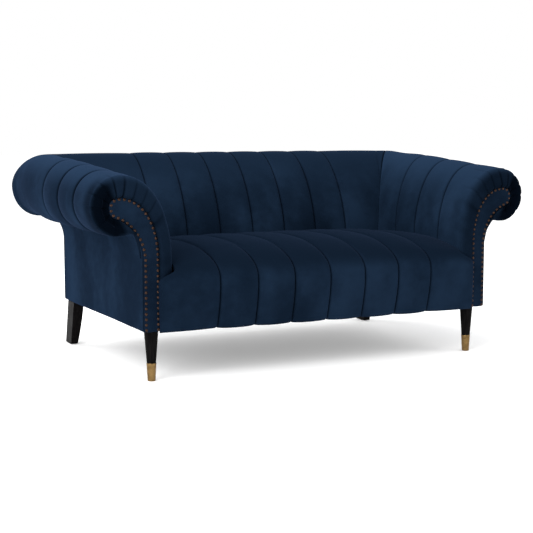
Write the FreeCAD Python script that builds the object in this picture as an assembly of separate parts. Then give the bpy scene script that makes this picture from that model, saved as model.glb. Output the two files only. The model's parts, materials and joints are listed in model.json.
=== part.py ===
import FreeCAD, Part
import os
from collections import namedtuple

# Two-seat scroll-arm sofa on wooden legs, millimetres.
# X runs across the sofa, -Y is the front, +Z is up. "left" is the -X side, seen from the front.
# The origin is on the floor, under the centre of the sofa's bounding box.

# ---- driving dimensions ----
BASE_Z = 175.0             # underside of the upholstered body, the height of the legs
RAIL_Z = 178.0             # underside of the wooden base frame
RAIL_TOP_Z = 292.0         # top of the base frame
OUT_X = 691.0              # outside face of the arms, half the width of the body
FACE_Y = -497.0            # front plane of the arm facings
REAR_Y = 404.0             # outside face of the back, low down
NOSE_Y = -540.0            # where the rounded front edge of the seat starts its fall
SEAT_REAR_Y = 98.0         # rear end of the seat, against the foot of the back
BACK_FOOT_Y = 99.0         # inside face of the back where it meets the seat
ARM_FOOT_X = 579.0         # inside face of the arms where they meet the back
MITRE = 1.42               # how far the mitre between arm and back runs in Y for each step in X
SEAM_IN = 25.0             # from the lowest point of a roll in to the seam of the outside panel
COVE_Z = 425.0             # height at which the outside panels become upright

COVER = 3.0                # velvet and its wadding
PADDING = 46.0             # foam of the arms and the back
BOARD = 3.0                # lining board behind the foam
PLY = 18.0                 # formers and ribs
SEAT_SIDE_GAP = 1.0        # seat foam to arm cover
DECK_Z = 312.0             # top of the hessian over the seat springs
WIRE_R = 1.8               # zigzag spring wire
CHANNEL = 142.0            # width of one sewn channel of the seat and the back
CHANNELS = 8

BORDER_Z = 357.0           # lower end of the padded border round a facing
NAIL_PITCH = 18.0
NAIL_R = 5.2
NAIL_H = 3.0
NAIL_EDGE = 7.0            # nail line to the edge of the facing
FACING_T = 9.0

FRONT_LEG = (648.0, -446.0)
FRONT_LEG_TOP_R = 24.5
FRONT_LEG_END_R = 16.0
FERRULE_Z = 62.0
FERRULE_R = (17.2, 13.8)   # outer radius at the top and at the floor
FERRULE_T = 1.4
REAR_LEG_TOP = (668.5, 334.5)
REAR_LEG_FOOT = (675.0, 378.0)
REAR_LEG_TOP_SIZE = (41.0, 75.0)
REAR_LEG_FOOT_SIZE = (28.0, 68.0)
GLIDE_H = 3.0
GLIDE_R = 11.0
PLATE_SIZE = 58.0
PLATE_HOLE = 21.0          # screw holes of a leg plate from its centre, in X and in Y

POST_X = (656.0, 684.0)    # the arm posts and side rails, inner and outer face
POST_TOP_Z = 440.0
TACKING_RAIL_H = 42.0
ARM_RAIL_X = (738.0, 778.0)        # the rail inside an arm's roll
ARM_RAIL_Z = (585.0, 627.0)
STRUT_Y = (-334.0, -94.0, 146.0)
BACK_RAIL_Y = (352.0, 396.0)       # the rail inside the back's roll
BACK_RAIL_Z = (606.0, 650.0)
RIB_X = (-540.0, -180.0, 180.0, 540.0)
RIB_FRONT_Y = BACK_FOOT_Y + 81.0   # front edge of the ribs, behind the two rails they are notched to
RIB_FOOT_Z = 230.0
WEB_X = (-426.0, -284.0, -71.0, 71.0, 284.0, 426.0)
WEB_W = 60.0
BRACE_X = (-213.0, 213.0)
PANEL_T = 4.0              # velvet over card on the outside
BORDER_PROUD = 8.0         # how far the padded border stands in front of the facing
LOW_Z = 318.0              # lower edge of the inside covers, tucked past the seat
FAR = 1100.0               # more than the sofa reaches in any direction

KAPPA = 0.5523             # a cubic curve with this handle follows a quarter ellipse

# One cross-section of an arm or of the back; h is the distance sideways or to the rear.
# It rises from the foot, leans over to the crest, and rolls round to its lowest point.
Section = namedtuple("Section", "foot_h foot_z lean_h lean_z pull_h crest_h crest_z out_h low_h roll_h")
FRONT_SECTION = Section(588, 430, 588, 568, 655, 763, 712, 864, 763, 100)
REAR_SECTION = Section(ARM_FOOT_X, 420, 593, 580, 675, 775, 756, 866, 765, 121)
BACK_SECTION = Section(BACK_FOOT_Y, 420, 116, 580, 234, 352, 756, 542, 457, 121)


def inset(section, depth):
    """The same section, a depth below its surface."""
    return section._replace(foot_h=section.foot_h + depth, lean_h=section.lean_h + depth,
                            lean_z=section.lean_z - 0.3 * depth,
                            pull_h=section.pull_h + 0.6 * depth, crest_z=section.crest_z - depth,
                            out_h=section.out_h - depth, roll_h=section.roll_h - depth)


FRONT_BAY_Y = FACE_Y + 23     # back face of the front rail
REAR_BAY_Y = REAR_Y - 34      # front face of the rear rail


# ---- small geometry helpers ----
def curve(points, place):
    """A Bezier edge through 2-D control points, placed in space."""
    bezier = Part.BezierCurve()
    bezier.setPoles([place(h, z) for h, z in points])
    return bezier.toShape()


def line(a, b, place):
    return Part.makeLine(place(*a), place(*b))


def roll_curves(s, place):
    """Two quarter ellipses, from the crest over the outermost point to the lowest point."""
    mid_z = s.crest_z - s.roll_h
    low_z = s.crest_z - 2 * s.roll_h
    return [
        curve([(s.crest_h, s.crest_z), (s.crest_h + KAPPA * (s.out_h - s.crest_h), s.crest_z),
               (s.out_h, mid_z + KAPPA * s.roll_h), (s.out_h, mid_z)], place),
        curve([(s.out_h, mid_z), (s.out_h, mid_z - KAPPA * s.roll_h),
               (s.low_h + KAPPA * (s.out_h - s.low_h), low_z), (s.low_h, low_z)], place),
    ]


def section_curves(s, place, low_z):
    """The covered line of a section: up the inside, over the crest and round to the seam."""
    low = (s.low_h, s.crest_z - 2 * s.roll_h)
    return [
        line((s.foot_h, low_z), (s.foot_h, s.foot_z), place),
        curve([(s.foot_h, s.foot_z), (s.lean_h, s.lean_z), (s.pull_h, s.crest_z),
               (s.crest_h, s.crest_z)], place),
        *roll_curves(s, place),
        line(low, roll_seam(s), place),
    ]


def roll_seam(s):
    """Where the cover of a roll ends and the outside panel starts."""
    return (s.low_h - SEAM_IN, s.crest_z - 2 * s.roll_h - 1)


def ribbon(s, outer, inner, place, low_z):
    """A closed strip between two depths below a section's surface."""
    outside = section_curves(inset(s, outer), place, low_z)
    inside = section_curves(inset(s, inner), place, low_z)
    ends = [Part.makeLine(outside[-1].Vertexes[-1].Point, inside[-1].Vertexes[-1].Point),
            Part.makeLine(inside[0].Vertexes[0].Point, outside[0].Vertexes[0].Point)]
    return Part.Wire(Part.__sortEdges__(outside + inside + ends))


def on_xz(y):
    return lambda h, z: FreeCAD.Vector(h, y, z)


def on_yz(x):
    return lambda h, z: FreeCAD.Vector(x, h, z)


def box(low, high):
    size = [b - a for a, b in zip(low, high)]
    return Part.makeBox(*size, FreeCAD.Vector(*low))


def prism(points, place, along):
    """A closed outline of straight sides, pushed along a vector."""
    ring = [place(h, z) for h, z in points]
    wire = Part.makePolygon(ring + [ring[0]])
    return Part.Face(wire).extrude(FreeCAD.Vector(*along))


def mirrored(shape):
    return shape.mirror(FreeCAD.Vector(0, 0, 0), FreeCAD.Vector(1, 0, 0))


def export(name, shape):
    assert shape.isValid(), name
    shape.exportStep("parts/" + name + ".step")
    print(name, "solids", len(shape.Solids), "cm3", round(shape.Volume / 1000, 1))


def export_pair(name, shape):
    """The +X piece and its mirror image on the -X side."""
    export("right_" + name, shape)
    export("left_" + name, mirrored(shape))


def mitre_block(side):
    """The room on one side of the right-hand mitre plane: side 1 holds the arm, -1 the back."""
    reach = 3000.0
    start = (ARM_FOOT_X - reach / MITRE, BACK_FOOT_Y - reach)
    end = (ARM_FOOT_X + reach / MITRE, BACK_FOOT_Y + reach)
    far_x = reach if side > 0 else -reach
    ring = [FreeCAD.Vector(x, y, 0) for x, y in (start, (far_x, start[1]), (far_x, end[1]), end)]
    face = Part.Face(Part.makePolygon(ring + [ring[0]]))
    return face.extrude(FreeCAD.Vector(0, 0, 1000))


def slab(s, place, along):
    """Everything a roll's outline encloses, pushed along the sofa or across it."""
    far_h = -2 * s.out_h
    low_z = s.crest_z - 2 * s.roll_h
    edges = roll_curves(s, place)
    ring = [(s.low_h, low_z), (s.low_h - SEAM_IN - 5, low_z - 3), (s.low_h - SEAM_IN - 5, 0),
            (far_h, 0), (far_h, s.crest_z), (s.crest_h, s.crest_z)]
    edges += [line(a, b, place) for a, b in zip(ring, ring[1:])]
    return Part.Face(Part.Wire(edges)).extrude(FreeCAD.Vector(*along))


def back_outline(depth):
    """Keeps the rear end of the arms inside the rolled outline of the back."""
    return slab(inset(BACK_SECTION, depth), on_yz(-FAR), (2 * FAR, 0, 0))


def side_outline(depth):
    """Keeps both ends of the back inside the rolled outline of the arms."""
    side = slab(inset(REAR_SECTION, depth), on_xz(-FAR), (0, 2 * FAR, 0))
    return side.common(mirrored(side))


def arm_strip(outer, inner, low_z, front_y=FACE_Y):
    """A strip of the arm between two depths, from the front to the mitre."""
    wires = [ribbon(s, outer, inner, on_xz(y), low_z)
             for s, y in ((FRONT_SECTION, front_y), (REAR_SECTION, BACK_FOOT_Y),
                          (REAR_SECTION, BACK_SECTION.out_h))]
    return Part.makeLoft(wires, True, True).common(mitre_block(1)).common(back_outline(outer))


def back_strip(outer, inner, low_z):
    """A strip of the back between two depths, from mitre to mitre."""
    reach = 900.0
    face = Part.Face(ribbon(BACK_SECTION, outer, inner, on_yz(-reach), low_z))
    whole = face.extrude(FreeCAD.Vector(2 * reach, 0, 0))
    whole = whole.common(mitre_block(-1)).common(mirrored(mitre_block(-1)))
    return whole.common(side_outline(outer))


# ---- base frame ----
def front_rail():
    return box((-632, FACE_Y + 1, RAIL_Z), (632, FRONT_BAY_Y, RAIL_TOP_Z))


def rear_rail():
    return box((-638, REAR_BAY_Y, RAIL_Z), (638, REAR_Y - 8, RAIL_TOP_Z))


def side_rail():
    rail = box((POST_X[0], FACE_Y + 43, RAIL_Z), (POST_X[1], REAR_Y - 20, RAIL_TOP_Z))
    return rail.cut(leg_bolts()).cut(plate_screws())


def cross_braces():
    return Part.makeCompound([box((x - 20, FRONT_BAY_Y, RAIL_Z), (x + 20, REAR_BAY_Y, RAIL_Z + 50))
                              for x in BRACE_X])


def corner_blocks():
    """Glued triangular blocks that take the legs' plates."""
    leg = 92.0
    blocks = []
    for y, sign in ((FRONT_BAY_Y, 1), (REAR_BAY_Y, -1)):
        corner_x = POST_X[0]
        block = prism([(corner_x, y), (corner_x - leg, y), (corner_x, y + sign * leg)],
                      lambda h, v: FreeCAD.Vector(h, v, RAIL_Z), (0, 0, 45))
        blocks += [block, mirrored(block)]
    return Part.makeCompound(blocks).cut(leg_bolts()).cut(plate_screws())


# ---- arm frame ----
def arm_front_former():
    """Full-height plywood scroll that carries the facing."""
    place = on_xz(FACE_Y + 14)
    s = inset(FRONT_SECTION, 30)
    rim = section_curves(s, place, RAIL_Z)
    ring = [roll_seam(s), (698, 500), (683, COVE_Z + 10), (683, RAIL_Z), (s.foot_h, RAIL_Z)]
    rim += [line(a, b, place) for a, b in zip(ring, ring[1:])]
    former = Part.Face(Part.Wire(rim)).extrude(FreeCAD.Vector(0, PLY, 0))
    return former.cut(front_rail()).cut(corner_blocks()).cut(plate_screws())


def arm_front_post():
    return box((POST_X[0], FACE_Y + 32, RAIL_TOP_Z), (POST_X[1], FACE_Y + 70, POST_TOP_Z))


def arm_rear_post():
    return box((POST_X[0], REAR_Y - 72, RAIL_TOP_Z), (POST_X[1], REAR_Y - 38, POST_TOP_Z))


def arm_tacking_rail():
    low = (POST_X[0] + 6, FACE_Y + 70, POST_TOP_Z - TACKING_RAIL_H)
    return box(low, (POST_X[1], REAR_Y - 72, POST_TOP_Z))


def arm_top_rail():
    low_x, high_x = ARM_RAIL_X
    low_z, high_z = ARM_RAIL_Z
    return box((low_x, FACE_Y + 32, low_z), (high_x, 215, high_z))


def arm_struts():
    """Slanted blocks that hold the roll's rail off the side of the arm."""
    foot_x, head_x, head_z = POST_X[0] + 6, ARM_RAIL_X[0], ARM_RAIL_Z[0]
    outline = [(foot_x, POST_TOP_Z), (foot_x + 12, POST_TOP_Z), (head_x + 14, head_z), (head_x, head_z)]
    struts = Part.makeCompound([prism(outline, on_xz(y), (0, 24, 0)) for y in STRUT_Y])
    return struts.cut(arm_lining_board())


def arm_lining_board():
    return arm_strip(COVER + PADDING, COVER + PADDING + BOARD, 330, FACE_Y + 32)


# ---- back frame ----
def back_top_rail():
    low_y, high_y = BACK_RAIL_Y
    low_z, high_z = BACK_RAIL_Z
    return box((-700, low_y, low_z), (700, high_y, high_z))


def back_tie_rail():
    return box((-572, BACK_FOOT_Y + 57, 322), (572, BACK_FOOT_Y + 81, 364))


def spring_rail():
    """Carries the rear ends of the seat springs, under the back."""
    return box((-654, BACK_FOOT_Y + 55, 258), (654, BACK_FOOT_Y + 81, 300))


def back_ribs():
    """Plywood ribs from the tie rail to the rear rail and up to the top rail."""
    front, foot_z = RIB_FRONT_Y, RIB_FOOT_Z
    rail_y, rear_y = BACK_RAIL_Y
    low_z, high_z = BACK_RAIL_Z
    outline = [(front, foot_z), (front, 470), (front + 28, 560), (front + 70, 620),
               (rail_y, high_z), (rail_y, low_z), (rear_y, low_z), (rear_y, foot_z + 70),
               (REAR_BAY_Y, foot_z + 70), (REAR_BAY_Y, foot_z)]
    window = [(front + 32, foot_z + 50), (front + 32, 450), (front + 70, 545),
              (rail_y - 22, 575), (rail_y + 10, 540), (rail_y + 10, foot_z + 50)]
    ribs = []
    for x in RIB_X:
        rib = prism(outline, on_yz(x - PLY / 2), (PLY, 0, 0))
        ribs.append(rib.cut(prism(window, on_yz(x - PLY), (2 * PLY, 0, 0))))
    return Part.makeCompound(ribs)


def back_webbing():
    """Upright elastic webs behind the back's foam."""
    low = COVER + PADDING + 1.6
    strip = back_strip(low, low + 2, 320)
    bands = [box((x - WEB_W / 2, 0, 0), (x + WEB_W / 2, 330, FAR)) for x in WEB_X]
    return Part.makeCompound([strip.common(band) for band in bands])


def back_hessian():
    low = COVER + PADDING
    return back_strip(low, low + 1.5, 320).common(box((-560, 0, 0), (560, 330, FAR)))


# ---- seat suspension ----
def zigzag(x, y0, y1, z):
    """One flat zigzag spring: straight bars joined by half-circle bends."""
    bends = 16
    r = (y1 - y0) / (2.0 * bends)
    half = 22.0
    edges = []
    for i in range(bends):
        y = y0 + 2 * r * i
        side = 1 if i % 2 == 0 else -1
        start = FreeCAD.Vector(x if i == 0 else x - side * half, y, z)
        turn = FreeCAD.Vector(x + side * half, y, z)
        middle = FreeCAD.Vector(x + side * (half + r), y + r, z)
        end = FreeCAD.Vector(x + side * half, y + 2 * r, z)
        edges.append(Part.makeLine(start, turn))
        edges.append(Part.Arc(turn, middle, end).toShape())
    last = edges[-1].Vertexes[-1].Point
    edges.append(Part.makeLine(end, FreeCAD.Vector(x, last.y, z)))
    path = Part.Wire(edges)
    ring = Part.Wire(Part.makeCircle(WIRE_R, FreeCAD.Vector(x, y0, z), FreeCAD.Vector(1, 0, 0)))
    return path.makePipeShell([ring], True, False)


def seat_springs():
    z = DECK_Z - 1.5 - WIRE_R - 0.2
    springs = [zigzag(channel_x(i), FRONT_BAY_Y - 6, BACK_FOOT_Y + 64, z) for i in range(CHANNELS)]
    return Part.makeCompound(springs)


def channel_x(i):
    return (i - (CHANNELS - 1) / 2.0) * CHANNEL


def spring_clips():
    clips = []
    for i in range(CHANNELS):
        for y in (FRONT_BAY_Y - 20, BACK_FOOT_Y + 64):
            top = RAIL_TOP_Z if y < 0 else 300
            clips.append(box((channel_x(i) - 9, y, top), (channel_x(i) + 9, y + 14, DECK_Z - 2)))
    return Part.makeCompound(clips).cut(seat_springs())


def seat_hessian():
    return box((-575, FRONT_BAY_Y + 2, DECK_Z - 1.5), (575, BACK_FOOT_Y + 45, DECK_Z))


# ---- seat ----
def seat_profile(depth, place):
    """Over the crown, round the nose and down the front, a depth below the surface."""
    d = depth
    nose = NOSE_Y + d
    return [
        curve([(SEAT_REAR_Y, 430 - d), (-14, 452 - d), (-214, 466 - d), (-364, 444 - d)], place),
        curve([(-364, 444 - d), (-454, 427 - d), (nose + 3, 400), (nose, 345)], place),
        curve([(nose, 345), (nose - 6, 300), (nose + 9, 240), (nose + 27, RAIL_Z)], place),
    ]


def seat_foam():
    """One block over the springs with a thinner pad down the front rail."""
    half = ARM_FOOT_X - SEAT_SIDE_GAP
    place = on_yz(-half)
    top = seat_profile(COVER, place)
    under = [(NOSE_Y + 27 + COVER, RAIL_Z), (FACE_Y, RAIL_Z), (FACE_Y, DECK_Z),
             (SEAT_REAR_Y, DECK_Z), (SEAT_REAR_Y, 430 - COVER)]
    edges = top + [line(a, b, place) for a, b in zip(under, under[1:])]
    return Part.Face(Part.Wire(edges)).extrude(FreeCAD.Vector(2 * half, 0, 0))


def seat_cover():
    half = ARM_FOOT_X - SEAT_SIDE_GAP
    place = on_yz(-half)
    skin, inner = seat_profile(0, place), seat_profile(COVER, place)
    ends = [line((SEAT_REAR_Y, 430), (SEAT_REAR_Y, 430 - COVER), place),
            line((NOSE_Y + 27, RAIL_Z), (NOSE_Y + 27 + COVER, RAIL_Z), place)]
    wire = Part.Wire(Part.__sortEdges__(skin + inner + ends))
    return Part.Face(wire).extrude(FreeCAD.Vector(2 * half, 0, 0))


def seat_front_wings():
    """The padded front beside the seat, between the seat's end and each arm facing."""
    place = on_yz(ARM_FOOT_X)
    front = NOSE_Y + 6
    outline = [(FACE_Y, RAIL_Z), (front + 22, RAIL_Z), (front + 8, 230), (front, 290), (front, 330),
               (front + 16, 350), (FACE_Y, 356)]
    wing = prism(outline, place, (53, 0, 0))
    return Part.makeCompound([wing, mirrored(wing)])


# ---- arms and back: foam and covers ----
def arm_foam():
    return arm_strip(COVER, COVER + PADDING, 330, FACE_Y + 14).cut(arm_front_former())


def inside_arm_cover():
    return arm_strip(0, COVER, LOW_Z, FACE_Y + 14)


def outside_panel_curves(seam, out, place):
    """Inward from the seam under a roll, then straight down to the base."""
    return [curve([seam, (seam[0] - 16, seam[1]), (out + 2, COVE_Z + 53), (out, COVE_Z)], place),
            line((out, COVE_Z), (out, RAIL_Z - 2), place)]


def outside_panel(seam, out, place):
    """A thin closed strip: flat below, and curving out under the roll to the seam."""
    outer = outside_panel_curves((seam[0], seam[1] - 0.5), out, place)
    inner = outside_panel_curves((seam[0], seam[1] + PANEL_T), out - PANEL_T, place)
    ends = [Part.makeLine(outer[-1].Vertexes[-1].Point, inner[-1].Vertexes[-1].Point),
            Part.makeLine(inner[0].Vertexes[0].Point, outer[0].Vertexes[0].Point)]
    return Part.Wire(Part.__sortEdges__(outer + inner + ends))


def outside_arm_panel():
    """Runs from behind the facing to the rear, where its edge follows the outside back."""
    reach = REAR_Y + 80
    wires = [outside_panel(roll_seam(s), OUT_X, on_xz(y))
             for s, y in ((FRONT_SECTION, FACE_Y + FACING_T), (REAR_SECTION, reach))]
    panel = Part.makeLoft(wires, True, True)
    place = on_yz(500)
    edges = outside_panel_curves(roll_seam(BACK_SECTION), REAR_Y, place)
    seam = roll_seam(BACK_SECTION)
    ring = [(REAR_Y, RAIL_Z - 2), (REAR_Y, 0), (2 * reach, 0), (2 * reach, seam[1]), seam]
    edges += [line(a, b, place) for a, b in zip(ring, ring[1:])]
    behind = Part.Face(Part.Wire(edges)).extrude(FreeCAD.Vector(500, 0, 0))
    return panel.cut(behind).cut(inside_back_cover()).cut(back_foam())


def outside_back_panel():
    half = OUT_X - 5
    face = Part.Face(outside_panel(roll_seam(BACK_SECTION), REAR_Y, on_yz(-half)))
    return face.extrude(FreeCAD.Vector(2 * half, 0, 0))


def back_foam():
    return back_strip(COVER, COVER + PADDING, DECK_Z + 2)


def inside_back_cover():
    return back_strip(0, COVER, LOW_Z)


# ---- arm facings and nails ----
def facing_edges(d, place):
    """Outline of the scroll facing, d inside its edge."""
    inner_x, outer_x, base_z = 633 + d, 690 - d, RAIL_Z - 1 + d
    top, tip, chin = (773, 633 - d), (809 - d, 597), (790 - 0.3 * d, 562 + d)
    return [
        line((inner_x, base_z), (inner_x, 430), place),
        curve([(inner_x, 430), (inner_x, 545 - 0.4 * d), (690 + 0.5 * d, 633 - d), top], place),
        curve([top, (794 - 0.5 * d, 633 - d), (809 - d, 618 - 0.4 * d), tip], place),
        curve([tip, (809 - d, 578 + 0.4 * d), (802 - 0.5 * d, 567 + d), chin], place),
        curve([chin, (740 - 0.4 * d, 545 + d), (696 - 0.9 * d, 502), (outer_x, 425)], place),
        line((outer_x, 425), (outer_x, base_z), place),
        line((outer_x, base_z), (inner_x, base_z), place),
    ]


def facing():
    place = on_xz(FACE_Y)
    outline = Part.Wire(facing_edges(0, place))
    return Part.Face(outline).extrude(FreeCAD.Vector(0, FACING_T, 0))


def facing_nails():
    """Domed nail heads along both sides and round the scroll, open at the foot."""
    path = Part.Wire(facing_edges(NAIL_EDGE, on_xz(FACE_Y))[:-1])
    count = int(path.Length / NAIL_PITCH)
    dome = nail_head()
    return Part.makeCompound([dome.translated(p) for p in path.discretize(Number=count + 1)])


def nail_head():
    """A shallow cap of a sphere that stands out of the facing towards the front."""
    ball_r = (NAIL_R ** 2 + NAIL_H ** 2) / (2 * NAIL_H)
    ball = Part.makeSphere(ball_r, FreeCAD.Vector(0, ball_r - NAIL_H, 0))
    return ball.common(box((-20, -NAIL_H, -20), (20, 0, 20)))


def front_border():
    """Padded roll of cover round the facing, over the edge of the plywood."""
    place = on_xz(FACE_Y - BORDER_PROUD)
    rim = section_curves(FRONT_SECTION, place, BORDER_Z)
    rim += outside_panel_curves(roll_seam(FRONT_SECTION), OUT_X, place)[:1]
    rim += [line((OUT_X, COVE_Z), (OUT_X, BORDER_Z), place),
            line((OUT_X, BORDER_Z), (FRONT_SECTION.foot_h, BORDER_Z), place)]
    pad = Part.Face(Part.Wire(rim)).extrude(FreeCAD.Vector(0, BORDER_PROUD + FACING_T - 1, 0))
    recess = Part.Face(Part.Wire(facing_edges(-0.2, on_xz(FACE_Y - 20))))
    return pad.cut(recess.extrude(FreeCAD.Vector(0, 60, 0)))


# ---- underside ----
def dust_cover():
    sheet = box((-652, FACE_Y + 11, BASE_Z + 1), (652, REAR_Y - 14, RAIL_Z))
    for centre in plate_centres():
        sheet = sheet.cut(plate_at(centre, PLATE_SIZE + 2, 10))
    return sheet.cut(leg_bolts())


# ---- legs ----
def leg_centres():
    return [(side * x, y) for x, y in (FRONT_LEG, REAR_LEG_TOP) for side in (-1, 1)]


def plate_centres():
    """Only the front legs turn in on plates; the rear ones bolt to the side rails."""
    return leg_centres()[:2]


def plate_at(centre, size, height):
    x, y = centre
    half = size / 2
    return box((x - half, y - half, BASE_Z), (x + half, y + half, BASE_Z + height))


def leg_plates():
    plates = [plate_at(centre, PLATE_SIZE, RAIL_Z - BASE_Z) for centre in plate_centres()]
    return Part.makeCompound(plates).cut(leg_bolts()).cut(plate_screws())


def plate_screws():
    screws = []
    for x, y in plate_centres():
        for i, j in ((-1, -1), (1, -1), (1, 1), (-1, 1)):
            foot = FreeCAD.Vector(x + i * PLATE_HOLE, y + j * PLATE_HOLE, BASE_Z)
            head = Part.makeCone(4.2, 2.2, 1.6, foot - FreeCAD.Vector(0, 0, 1.6))
            screws.append(head.fuse(Part.makeCylinder(2.2, 22, foot)))
    return Part.makeCompound(screws)


def leg_bolts():
    return Part.makeCompound([Part.makeCylinder(4.0, 74, FreeCAD.Vector(*c, BASE_Z - 34))
                              for c in leg_centres()])


def front_leg():
    """Turned leg: a straight taper, with a thinner spigot inside the ferrule."""
    end_top = FERRULE_R[0] - FERRULE_T
    end_low = FERRULE_R[1] - FERRULE_T
    profile = [(0, 2), (end_low, 2), (end_top, FERRULE_Z), (FRONT_LEG_END_R, FERRULE_Z),
               (FRONT_LEG_TOP_R, BASE_Z - 4), (FRONT_LEG_TOP_R - 2, BASE_Z), (0, BASE_Z)]
    return turned(profile, FRONT_LEG).cut(leg_bolts()).cut(plate_screws())


def front_ferrule():
    top_r, low_r = FERRULE_R
    profile = [(0, 0), (low_r - 1.2, 0), (low_r, 1.2), (top_r, FERRULE_Z - 1), (top_r - 0.4, FERRULE_Z),
               (top_r - FERRULE_T, FERRULE_Z), (low_r - FERRULE_T, 2), (0, 2)]
    return turned(profile, FRONT_LEG)


def turned(profile, centre):
    """A shape turned about an upright axis, from radius and height pairs."""
    ring = [FreeCAD.Vector(centre[0] + r, centre[1], z) for r, z in profile]
    face = Part.Face(Part.makePolygon(ring + [ring[0]]))
    return face.revolve(FreeCAD.Vector(*centre, 0), FreeCAD.Vector(0, 0, 1), 360)


def rear_leg():
    """Square sabre leg that sweeps back towards the floor."""
    levels = 5
    wires = []
    for i in range(levels):
        t = i / (levels - 1.0)
        bow = t ** 2
        x = REAR_LEG_TOP[0] + (REAR_LEG_FOOT[0] - REAR_LEG_TOP[0]) * bow
        y = REAR_LEG_TOP[1] + (REAR_LEG_FOOT[1] - REAR_LEG_TOP[1]) * t
        w = REAR_LEG_TOP_SIZE[0] + (REAR_LEG_FOOT_SIZE[0] - REAR_LEG_TOP_SIZE[0]) * bow
        d = REAR_LEG_TOP_SIZE[1] + (REAR_LEG_FOOT_SIZE[1] - REAR_LEG_TOP_SIZE[1]) * t
        z = BASE_Z + (GLIDE_H - BASE_Z) * t
        ring = [FreeCAD.Vector(x + i2 * w / 2, y + j2 * d / 2, z)
                for i2, j2 in ((-1, -1), (1, -1), (1, 1), (-1, 1))]
        wires.append(Part.makePolygon(ring + [ring[0]]))
    return Part.makeLoft(wires, True, False).cut(leg_bolts())


def rear_glides():
    """Nylon nail-in glides under the rear legs."""
    x, y = REAR_LEG_FOOT
    glide = turned([(0, 0), (GLIDE_R - 1, 0), (GLIDE_R, 1), (GLIDE_R, GLIDE_H), (0, GLIDE_H)], (x, y))
    return Part.makeCompound([glide, mirrored(glide)])


def main():
    os.makedirs("parts", exist_ok=True)
    for name, make in (
            ("front_rail", front_rail), ("rear_rail", rear_rail), ("cross_braces", cross_braces),
            ("corner_blocks", corner_blocks), ("back_top_rail", back_top_rail),
            ("back_tie_rail", back_tie_rail), ("spring_rail", spring_rail), ("back_ribs", back_ribs),
            ("back_webbing", back_webbing), ("back_hessian", back_hessian),
            ("seat_springs", seat_springs), ("spring_clips", spring_clips),
            ("seat_hessian", seat_hessian), ("seat_foam", seat_foam), ("seat_cover", seat_cover),
            ("seat_front_wings", seat_front_wings), ("back_foam", back_foam),
            ("inside_back_cover", inside_back_cover), ("outside_back_panel", outside_back_panel),
            ("dust_cover", dust_cover), ("leg_plates", leg_plates), ("plate_screws", plate_screws),
            ("leg_bolts", leg_bolts), ("rear_glides", rear_glides)):
        export(name, make())
    for name, make in (
            ("side_rail", side_rail), ("arm_front_former", arm_front_former),
            ("arm_front_post", arm_front_post), ("arm_rear_post", arm_rear_post),
            ("arm_tacking_rail", arm_tacking_rail), ("arm_top_rail", arm_top_rail),
            ("arm_struts", arm_struts), ("arm_lining_board", arm_lining_board),
            ("arm_foam", arm_foam), ("inside_arm_cover", inside_arm_cover),
            ("outside_arm_panel", outside_arm_panel), ("front_border", front_border),
            ("facing", facing), ("facing_nails", facing_nails), ("front_leg", front_leg),
            ("front_ferrule", front_ferrule), ("rear_leg", rear_leg)):
        export_pair(name, make())


main()
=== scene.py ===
# %% [markdown]
# # A two-seat scroll-arm sofa in midnight-blue velvet
# The wooden frame, springs, legs and hardware come from the CAD model. This lesson dresses them: it makes
# the channelled seat, the rolled back and arms with their pleated fronts, the nailed facings, the outside
# panels and the dust cover, and gives every piece a finish. Everything is in metres, in the CAD's frame:
# X across the sofa, -Y to the front, Z up.

# %% The frame
import json
from collections import namedtuple
from math import cos, exp, pi, radians, sin

import bmesh
import bpy
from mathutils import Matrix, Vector, noise


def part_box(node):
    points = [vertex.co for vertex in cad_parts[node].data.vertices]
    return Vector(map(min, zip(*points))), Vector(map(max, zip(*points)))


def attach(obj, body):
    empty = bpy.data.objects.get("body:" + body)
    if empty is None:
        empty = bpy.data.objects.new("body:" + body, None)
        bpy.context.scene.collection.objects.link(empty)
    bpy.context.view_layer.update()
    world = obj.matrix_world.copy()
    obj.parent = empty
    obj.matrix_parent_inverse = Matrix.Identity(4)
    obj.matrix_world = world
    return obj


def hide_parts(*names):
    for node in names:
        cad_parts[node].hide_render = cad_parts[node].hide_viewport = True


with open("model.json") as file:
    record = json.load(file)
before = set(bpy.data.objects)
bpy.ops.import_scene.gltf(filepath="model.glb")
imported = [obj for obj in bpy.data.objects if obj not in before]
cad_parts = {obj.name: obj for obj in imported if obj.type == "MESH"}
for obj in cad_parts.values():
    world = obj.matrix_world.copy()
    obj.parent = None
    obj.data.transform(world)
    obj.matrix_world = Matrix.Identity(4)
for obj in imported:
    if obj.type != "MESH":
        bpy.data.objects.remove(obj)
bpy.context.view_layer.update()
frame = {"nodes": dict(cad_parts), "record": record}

nodes = frame["nodes"]

# %% [markdown]
# ## Camera, floor and light
# A product picture of a sofa is taken from a little above the arms, with a long lens, so that upright
# lines stay upright. The light is a bright room: a white world with a big soft lamp on the left, one
# overhead, and weaker ones from the right and from behind.

# %% Camera
lens = bpy.data.cameras.new("camera")
lens.lens = 83.0
lens.sensor_width = 36.0
camera = bpy.data.objects.new("camera", lens)
camera.location = (-2.112, -4.3255, 0.870)
camera.rotation_euler = (radians(90 - 6.59), 0, radians(-26.11))
scene = bpy.context.scene
scene.collection.objects.link(camera)
scene.camera = camera
scene.view_settings.view_transform = "Standard"
print("camera at", tuple(camera.location))


# %% Lights
def lamp(name, place, aim, size, power):
    """A square soft box that points from place to aim."""
    light = bpy.data.lights.new(name, "AREA")
    light.size = size
    light.energy = power
    made = bpy.data.objects.new(name, light)
    made.location = place
    made.rotation_euler = (Vector(aim) - Vector(place)).to_track_quat("-Z", "Y").to_euler()
    scene.collection.objects.link(made)


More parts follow.
